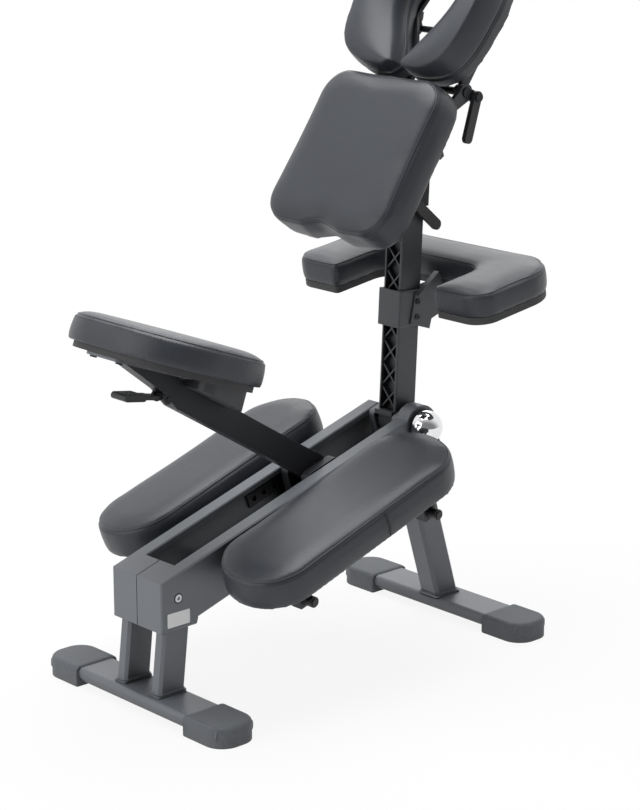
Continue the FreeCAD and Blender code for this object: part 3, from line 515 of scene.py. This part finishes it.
def slices(mesh, point, up):
    """The closed paths, longest first, where a plane cuts a mesh."""
    work = bmesh.new()
    work.from_mesh(mesh)
    bmesh.ops.remove_doubles(work, verts=work.verts, dist=MERGE)
    everything = work.verts[:] + work.edges[:] + work.faces[:]
    cut = bmesh.ops.bisect_plane(work, geom=everything, plane_co=point, plane_no=up)
    edges = {part for part in cut["geom_cut"] if isinstance(part, bmesh.types.BMEdge)}
    paths = []
    while edges:
        edge = edges.pop()
        path = [edge.verts[0], edge.verts[1]]
        while True:
            following = [other for other in path[-1].link_edges if other in edges]
            if not following:
                break
            edges.discard(following[0])
            path.append(following[0].other_vert(path[-1]))
        paths.append([vertex.co.copy() for vertex in path])
    work.free()
    return sorted(paths, key=path_length, reverse=True)


def path_length(path):
    return sum((b - a).length for a, b in zip(path, path[1:] + path[:1]))


def spaced(path, step):
    """The same closed path with points at even steps."""
    closed = path + path[:1] if (path[0] - path[-1]).length > SAME_POINT else path
    total = sum((b - a).length for a, b in zip(closed, closed[1:]))
    count = max(FEWEST_POINTS, round(total / step))
    result = []
    travelled = 0.0
    for a, b in zip(closed, closed[1:]):
        length = (b - a).length
        while len(result) < count and len(result) * total / count <= travelled + length:
            share = (len(result) * total / count - travelled) / max(length, TINY)
            result.append(a.lerp(b, share))
        travelled += length
    return result


def softened(path, rounds):
    for _ in range(rounds):
        path = [(path[i - 1] + path[i] * 2.0 + path[(i + 1) % len(path)]) / 4.0 for i in range(len(path))]
    return path


print("slicing ready")

# %% [markdown]
# ## Stitches and weld beads by Geometry Nodes
# Both are one small shape repeated along a path, so one tree makes them: it spaces points along the path,
# puts a stretched ball on each, turns it along the path, and varies its size a little with a fixed seed.

# %% Beads along a path
BALL = {"Segments": 8, "Rings": 5, "Radius": 0.5}
BEAD_SEED = 7


def bead_tree():
    tree = bpy.data.node_groups.new("beads_along_path", "GeometryNodeTree")
    sockets = {}
    for name, kind in (("Path", "NodeSocketGeometry"), ("Pitch", "NodeSocketFloat"),
                       ("Length", "NodeSocketFloat"), ("Width", "NodeSocketFloat"),
                       ("Vary", "NodeSocketFloat"), ("Finish", "NodeSocketMaterial")):
        sockets[name] = tree.interface.new_socket(name, in_out="INPUT", socket_type=kind).identifier
    tree.interface.new_socket("Beads", in_out="OUTPUT", socket_type="NodeSocketGeometry")
    entry = tree.nodes.new("NodeGroupInput").outputs
    curve = Flow.node(tree, "GeometryNodeMeshToCurve", {}, {"Mesh": Flow(entry["Path"])})
    points = Flow.node(tree, "GeometryNodeResampleCurve", {"mode": "LENGTH"},
                       {"Curve": curve, "Length": Flow(entry["Pitch"])})
    ball = Flow.node(tree, "GeometryNodeMeshUVSphere", {}, BALL)
    tangent = Flow.node(tree, "GeometryNodeInputTangent")
    turn = Flow.node(tree, "FunctionNodeAlignRotationToVector", {"axis": "X"}, {"Vector": tangent})
    low = Flow.node(tree, "ShaderNodeMath", {"operation": "SUBTRACT"}, {0: 1.0, 1: Flow(entry["Vary"])})
    factor = Flow.node(tree, "FunctionNodeRandomValue", {"data_type": "FLOAT"},
                       {2: low, 3: 1.0, "Seed": BEAD_SEED}, 1)
    size = Flow.node(tree, "ShaderNodeCombineXYZ", {},
                     {0: Flow(entry["Length"]), 1: Flow(entry["Width"]), 2: Flow(entry["Width"])})
    scale = Flow.node(tree, "ShaderNodeVectorMath", {"operation": "SCALE"}, {0: size, "Scale": factor})
    placed = Flow.node(tree, "GeometryNodeInstanceOnPoints", {},
                       {"Points": points, "Instance": ball, "Rotation": turn, "Scale": scale})
    real = Flow.node(tree, "GeometryNodeRealizeInstances", {}, {"Geometry": placed})
    soft = Flow.node(tree, "GeometryNodeSetShadeSmooth", {}, {"Geometry": real})
    done = Flow.node(tree, "GeometryNodeSetMaterial", {},
                     {"Geometry": soft, "Material": Flow(entry["Finish"])})
    tree.links.new(done.socket, tree.nodes.new("NodeGroupOutput").inputs["Beads"])
    return tree, sockets


def beads(name, paths, finish, pitch, length, width, vary, closed=True):
    """One mesh of beads along several paths."""
    points, edges = [], []
    for path in paths:
        first = len(points)
        points += [tuple(point) for point in path]
        count = len(path) if closed else len(path) - 1
        edges += [(first + i, first + (i + 1) % len(path)) for i in range(count)]
    mesh = bpy.data.meshes.new(name)
    mesh.from_pydata(points, edges, [])
    thing = new_object(name, mesh)
    maker = thing.modifiers.new("beads", "NODES")
    maker.node_group = BEAD_TREE
    values = {"Pitch": pitch, "Length": length, "Width": width, "Vary": vary, "Finish": finish}
    for socket, value in values.items():
        maker[BEAD_SOCKETS[socket]] = value
    return bake_down(thing)


BEAD_TREE, BEAD_SOCKETS = bead_tree()
print("bead tree has", len(BEAD_TREE.nodes), "nodes")

# %% [markdown]
# ## Piping
# Where the top panel meets the side band, the cover is sewn over a thin cord. It is drawn as a round bead
# along the seam path, sunk a little into a shallow valley that the sewing pulls into the foam.

# %% Seams on a pad
PIPE_RADIUS = 0.0013
VALLEY_WIDTH = 0.0045
VALLEY_DEPTH = 0.0017
STITCH_PITCH = 0.0062
STITCH_LENGTH = 0.0044
STITCH_WIDTH = 0.0011
STITCH_DROP = 0.0055
STITCH_VARY = 0.1
SEAM_STEP = 0.004
SEAM_ROUNDS = 2
SHORTEST_SEAM = 0.2


def press_valley(mesh, level, up):
    """Draws the cover in along the seam's height."""
    normals = [vertex.normal.copy() for vertex in mesh.vertices]
    for vertex, normal in zip(mesh.vertices, normals):
        away = (vertex.co.dot(up) - level) / VALLEY_WIDTH
        vertex.co -= normal * VALLEY_DEPTH * math.exp(-away * away)
    mesh.update()


def tube(name, paths, radius, closed=True):
    """Round cords along paths, as one mesh."""
    curve = bpy.data.curves.new(name, "CURVE")
    curve.dimensions = "3D"
    curve.bevel_depth = radius
    curve.bevel_resolution = 2
    for path in paths:
        line = curve.splines.new("POLY")
        line.points.add(len(path) - 1)
        for point, place in zip(line.points, path):
            point.co = (*place, 1.0)
        line.use_cyclic_u = closed
    shape = new_object(name + "_line", curve)
    bpy.context.view_layer.update()
    mesh = shown_mesh(shape)
    bpy.data.objects.remove(shape)
    smooth(mesh)
    return new_object(name, mesh)


print("seam tools ready")

# %% [markdown]
# ## The pads
# The six pads differ only in which node they stand for, how they lean, how high their seam runs, and how
# much the foam may swell. The cradle's cushion is fat and round, so its seam runs lower on its side.

# %% Make every pad
KNEE_SLOPE = 18.7
KNEE_ROLL = 5.6
SEAT_TILT = -20.2
ARMREST_RISE = 8.3
CHEST_FACE = 55.5
CRADLE_FACE = 54.0
SEAM_SHARE = 0.83
CRADLE_SEAM_SHARE = 0.32
SWELLING = 0.0050
ARMREST_SWELLING = 0.0045
SMOOTH_ROUNDS = 2
PADS = (
    ("knee_pad_right", "base", KNEE_SLOPE, KNEE_ROLL, SEAM_SHARE, SWELLING),
    ("knee_pad_left", "base", KNEE_SLOPE, -KNEE_ROLL, SEAM_SHARE, SWELLING),
    ("seat_pad", "seat", SEAT_TILT, 0.0, SEAM_SHARE, SWELLING),
    ("armrest_pad", "armrest", ARMREST_RISE, 0.0, SEAM_SHARE, ARMREST_SWELLING),
    ("chest_pad", "chest", CHEST_FACE, 0.0, SEAM_SHARE, SWELLING),
    ("cradle_cushion", "cradle", CRADLE_FACE, 0.0, CRADLE_SEAM_SHARE, SWELLING),
)


def lean(tilt, roll):
    """The direction that a pad faces."""
    turn = Matrix.Rotation(math.radians(tilt), 3, "X") @ Matrix.Rotation(math.radians(roll), 3, "Y")
    return turn @ Vector((0.0, 0.0, 1.0))


def seam_paths(mesh, level, up):
    """The even, softened lines round a pad at a height along its own up."""
    loops = [path for path in slices(mesh, up * level, up) if path_length(path) > SHORTEST_SEAM]
    return [softened(spaced(path, SEAM_STEP), SEAM_ROUNDS) for path in loops]


def make_pad(node, body, tilt, roll, seam_share, cap):
    up = lean(tilt, roll)
    skin = remeshed_skin(node, "soft_" + node, up)
    blow_up(skin, up, cap)
    even_out(skin.data, SMOOTH_ROUNDS, up)
    finer = skin.modifiers.new("finer", "SUBSURF")
    finer.levels = 1
    finer.render_levels = 1
    bake_down(skin)
    levels = heights(skin.data, up)
    level = min(levels) + seam_share * (max(levels) - min(levels))
    press_valley(skin.data, level, up)
    smooth(skin.data)
    carry(skin, body, leather)
    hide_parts(node)
    seam = seam_paths(skin.data, level, up)
    carry(tube("piping_" + node, seam, PIPE_RADIUS), body, leather)
    below = seam_paths(skin.data, level - STITCH_DROP, up)
    sewn = beads("stitches_" + node, below, thread, STITCH_PITCH, STITCH_LENGTH, STITCH_WIDTH, STITCH_VARY)
    carry(sewn, body, thread)
    print(node, "skin of", len(skin.data.polygons), "faces,", len(seam), "seams")
    return skin


pads = {pad[0]: make_pad(*pad) for pad in PADS}

# %% [markdown]
# ## Joins in the side bands
# A knee pad's side band is one long strip, and its two ends meet on the pad's outer side. The join is a
# short upright seam with a row of stitches on each side of it. A plane across the pad finds the line on the
# cover.

# %% Band joins on the knee pads
BAND_STEP = 0.004
BAND_PLACE = 0.030
BAND_START = 0.006
BAND_END = 0.79
BAND_RADIUS = 0.0011
BAND_CLEAR = 0.05
QUARTER_TURN = 90.0


def band_line(mesh, along, place, outer, up):
    """The part of a cross-section that lies on one side of a pad, from its base to below its edge."""
    levels = heights(mesh, up)
    low = min(levels) + BAND_START
    high = min(levels) + BAND_END * (max(levels) - min(levels))
    middle = sum((vertex.co.x for vertex in mesh.vertices)) / len(mesh.vertices)
    path = slices(mesh, along * place, along)[0]
    outside = [point for point in path if (point.x - middle) * outer > BAND_CLEAR]
    side = [point for point in outside if low < point.dot(up) < high]
    return sorted(side, key=lambda point: point.dot(up))


def band_join(node, outer):
    mesh = pads[node].data
    up = lean(KNEE_SLOPE, KNEE_ROLL * outer)
    along = lean(KNEE_SLOPE - QUARTER_TURN, 0.0)
    centre = sum((vertex.co.dot(along) for vertex in mesh.vertices)) / len(mesh.vertices)
    places = [centre + BAND_PLACE + shift for shift in (0.0, -BAND_STEP, BAND_STEP)]
    lines = [band_line(mesh, along, place, outer, up) for place in places]
    carry(tube("band_join_" + node, lines[:1], BAND_RADIUS, False), "base", thread)
    sewn = beads("band_stitches_" + node, lines[1:], thread, STITCH_PITCH, STITCH_LENGTH, STITCH_WIDTH,
                 STITCH_VARY, False)
    carry(sewn, "base", thread)


band_join("knee_pad_right", 1.0)
band_join("knee_pad_left", -1.0)
print("side bands joined")

# %% [markdown]
# ## Staples under the boards
# The cover is pulled over the board's edge and stapled underneath, a staple about every 25 mm. Each row is
# the board's own outline drawn in by 16 mm, and the bead tree makes the staples as long thin beads.

# %% Staples
STAPLE_PITCH = 0.025
STAPLE_LENGTH = 0.011
STAPLE_WIDTH = 0.0012
STAPLE_INSET = 0.016
STAPLE_VARY = 0.05
EDGE_STEP = 0.006
BOARDS = (
    ("knee_board_right", "base", KNEE_SLOPE, KNEE_ROLL),
    ("knee_board_left", "base", KNEE_SLOPE, -KNEE_ROLL),
    ("seat_board", "seat", SEAT_TILT, 0.0),
    ("armrest_board", "armrest", ARMREST_RISE, 0.0),
    ("chest_board", "chest", CHEST_FACE, 0.0),
)


def drawn_in(path, up, distance):
    """A closed flat path moved inwards by a distance."""
    turns = sum((a.cross(b).dot(up) for a, b in zip(path, path[1:] + path[:1])))
    sign = 1.0 if turns > 0.0 else -1.0
    moved = []
    for i, point in enumerate(path):
        ahead = path[(i + 1) % len(path)] - path[i - 1]
        moved.append(point + up.cross(ahead).normalized() * (sign * distance))
    return moved


for node, body, tilt, roll in BOARDS:
    up = lean(tilt, roll)
    mesh = nodes[node].data
    levels = heights(mesh, up)
    middle = (min(levels) + max(levels)) / 2.0
    edge = spaced(slices(mesh, up * middle, up)[0], EDGE_STEP)
    row = [point - up * (middle - min(levels)) for point in drawn_in(edge, up, STAPLE_INSET)]
    staples = beads("staples_" + node, [row], zinc, STAPLE_PITCH, STAPLE_LENGTH, STAPLE_WIDTH, STAPLE_VARY)
    carry(staples, body, zinc)
print("stapled", len(BOARDS), "boards")

# %% [markdown]
# ## Weld beads and foot lips
# The legs are welded to small plates on the feet, and a weld is a row of overlapping beads, so it uses the
# same tree with a short pitch. Each rubber foot sleeve ends in a thin lip that grips the tube.

# %% Welds and lips
WELD_HEIGHT = 0.0388
WELD_STEP = 0.002
WELD_PITCH = 0.0028
WELD_LENGTH = 0.0052
WELD_WIDTH = 0.0046
WELD_VARY = 0.25
LIP_X = 0.1468
LIP_RADIUS = 0.0014
LIP_STEP = 0.004
FLOOR_CLEAR = 0.0016
UPRIGHT = Vector((0.0, 0.0, 1.0))
SIDEWAYS = Vector((1.0, 0.0, 0.0))

welds = [spaced(slices(nodes[leg].data, UPRIGHT * WELD_HEIGHT, UPRIGHT)[0], WELD_STEP)
         for leg in ("front_post_right", "front_post_left", "rear_leg")]
weld_rows = beads("weld_beads", welds, grey_coat, WELD_PITCH, WELD_LENGTH, WELD_WIDTH, WELD_VARY)
carry(weld_rows, "base", grey_coat)
lips = []
for end in ("front", "rear"):
    for side, sign in (("right", 1.0), ("left", -1.0)):
        cap_mesh = nodes[end + "_foot_cap_" + side].data
        ring = spaced(slices(cap_mesh, SIDEWAYS * (sign * LIP_X), SIDEWAYS)[0], LIP_STEP)
        lips.append([Vector((point.x, point.y, max(point.z, FLOOR_CLEAR))) for point in ring])
carry(tube("foot_lips", lips, LIP_RADIUS), "base", rubber)
print("welds", len(welds), "lips", len(lips))

# %% [markdown]
# ## The studio
# The photograph has a white sweep with only faint shadows. The floor and the world are white for what the
# camera sees or a mirror reflects, though a mirror that faces the camera's side of the room sees it dimmer.
# Plain soft light falls on the chair from a large lamp overhead, a wide one in front, one behind that lays
# a sheen on the upper faces, and the even glow of the room. A lamp's values are its name, its place, what it
# points at, its size in metres and its power in watts.

# %% Floor, world and lamps
FLOOR_HALF = 12.0
FLOOR_LEVEL = -0.0005
ROOM_GLOW = 0.14
ROOM_DIM = 0.24
SWEEP_WAY = (-0.66, 0.62, 0.42)
SWEEP_START = -0.5
SWEEP_FULL = 0.4
SHADOW_SHARE = 0.11
SHADOW_NEAR = 0.7
SHADOW_FAR = 1.7
WHITE = (1.0, 1.0, 1.0, 1.0)
SWEEP_WHITE = (0.93, 0.93, 0.93, 1.0)
LAMPS = (
    ("overhead", (-0.3, 0.2, 3.4), (0.0, 0.0, 0.5), 2.8, 124.0),
    ("front", (-0.6, -3.4, 1.6), (0.0, 0.0, 0.5), 3.2, 54.0),
    ("back", (-2.3, 2.5, 2.3), (0.0, 0.1, 0.5), 2.0, 18.0),
)


def seen_directly(tree):
    """1 for what the camera sees, straight or in a reflection."""
    path = tree.nodes.new("ShaderNodeLightPath").outputs
    seen = Flow(path["Is Camera Ray"]) + Flow(path["Is Glossy Ray"]) + Flow(path["Is Transmission Ray"])
    return seen.then("ShaderNodeClamp", {}, {"Value": seen})


def floor_finish():
    material = bpy.data.materials.new("white_sweep")
    material.use_nodes = True
    tree = material.node_tree
    tree.nodes.clear()
    matt = Flow.node(tree, "ShaderNodeBsdfDiffuse", {}, {"Color": SWEEP_WHITE})
    glow = Flow.node(tree, "ShaderNodeEmission", {}, {"Color": WHITE, "Strength": 1.0})
    place = Flow.node(tree, "ShaderNodeTexCoord", out="Object")
    reach = place.then("ShaderNodeVectorMath", {"operation": "LENGTH"}, {0: place}, "Value")
    far = reach.then("ShaderNodeMapRange", {"interpolation_type": "SMOOTHSTEP"},
                     {"Value": reach, "From Min": SHADOW_NEAR, "From Max": SHADOW_FAR})
    share = seen_directly(tree) * (far * SHADOW_SHARE + (1.0 - SHADOW_SHARE))
    mixed = Flow.node(tree, "ShaderNodeMixShader", {}, {0: share, 1: matt, 2: glow})
    tree.links.new(mixed.socket, tree.nodes.new("ShaderNodeOutputMaterial").inputs["Surface"])
    return material


def room_glow():
    world = bpy.data.worlds.new("white_room")
    world.use_nodes = True
    tree = world.node_tree
    tree.nodes.clear()
    path = tree.nodes.new("ShaderNodeLightPath").outputs
    view = Flow(tree.nodes.new("ShaderNodeTexCoord").outputs["Generated"])
    behind = view.then("ShaderNodeVectorMath", {"operation": "DOT_PRODUCT"},
                       {0: view, 1: SWEEP_WAY}, "Value")
    limits = {"From Min": SWEEP_START, "From Max": SWEEP_FULL, "To Min": ROOM_DIM}
    sweep = behind.then("ShaderNodeMapRange", {"interpolation_type": "SMOOTHSTEP"},
                        {"Value": behind, **limits})
    straight = Flow(path["Is Camera Ray"]) + Flow(path["Is Transmission Ray"])
    seen = straight + Flow(path["Is Glossy Ray"]) * sweep
    strength = seen.then("ShaderNodeClamp", {}, {"Value": seen, "Min": ROOM_GLOW})
    glow = Flow.node(tree, "ShaderNodeBackground", {}, {"Color": WHITE, "Strength": strength})
    tree.links.new(glow.socket, tree.nodes.new("ShaderNodeOutputWorld").inputs["Surface"])
    return world


def lamp(name, place, aim, size, power):
    light = bpy.data.lights.new(name, "AREA")
    light.shape = "SQUARE"
    light.size = size
    light.energy = power
    thing = new_object(name, light)
    thing.location = place
    thing.rotation_euler = (Vector(place) - Vector(aim)).to_track_quat("Z", "Y").to_euler()


floor_mesh = bpy.data.meshes.new("sweep")
signs = [(-1, -1), (1, -1), (1, 1), (-1, 1)]
floor_corners = [(x * FLOOR_HALF, y * FLOOR_HALF, FLOOR_LEVEL) for x, y in signs]
floor_mesh.from_pydata(floor_corners, [], [(0, 1, 2, 3)])
floor_mesh.materials.append(floor_finish())
new_object("sweep", floor_mesh)
scene.world = room_glow()
for values in LAMPS:
    lamp(*values)
scene.view_settings.view_transform = "Standard"
print("studio ready")
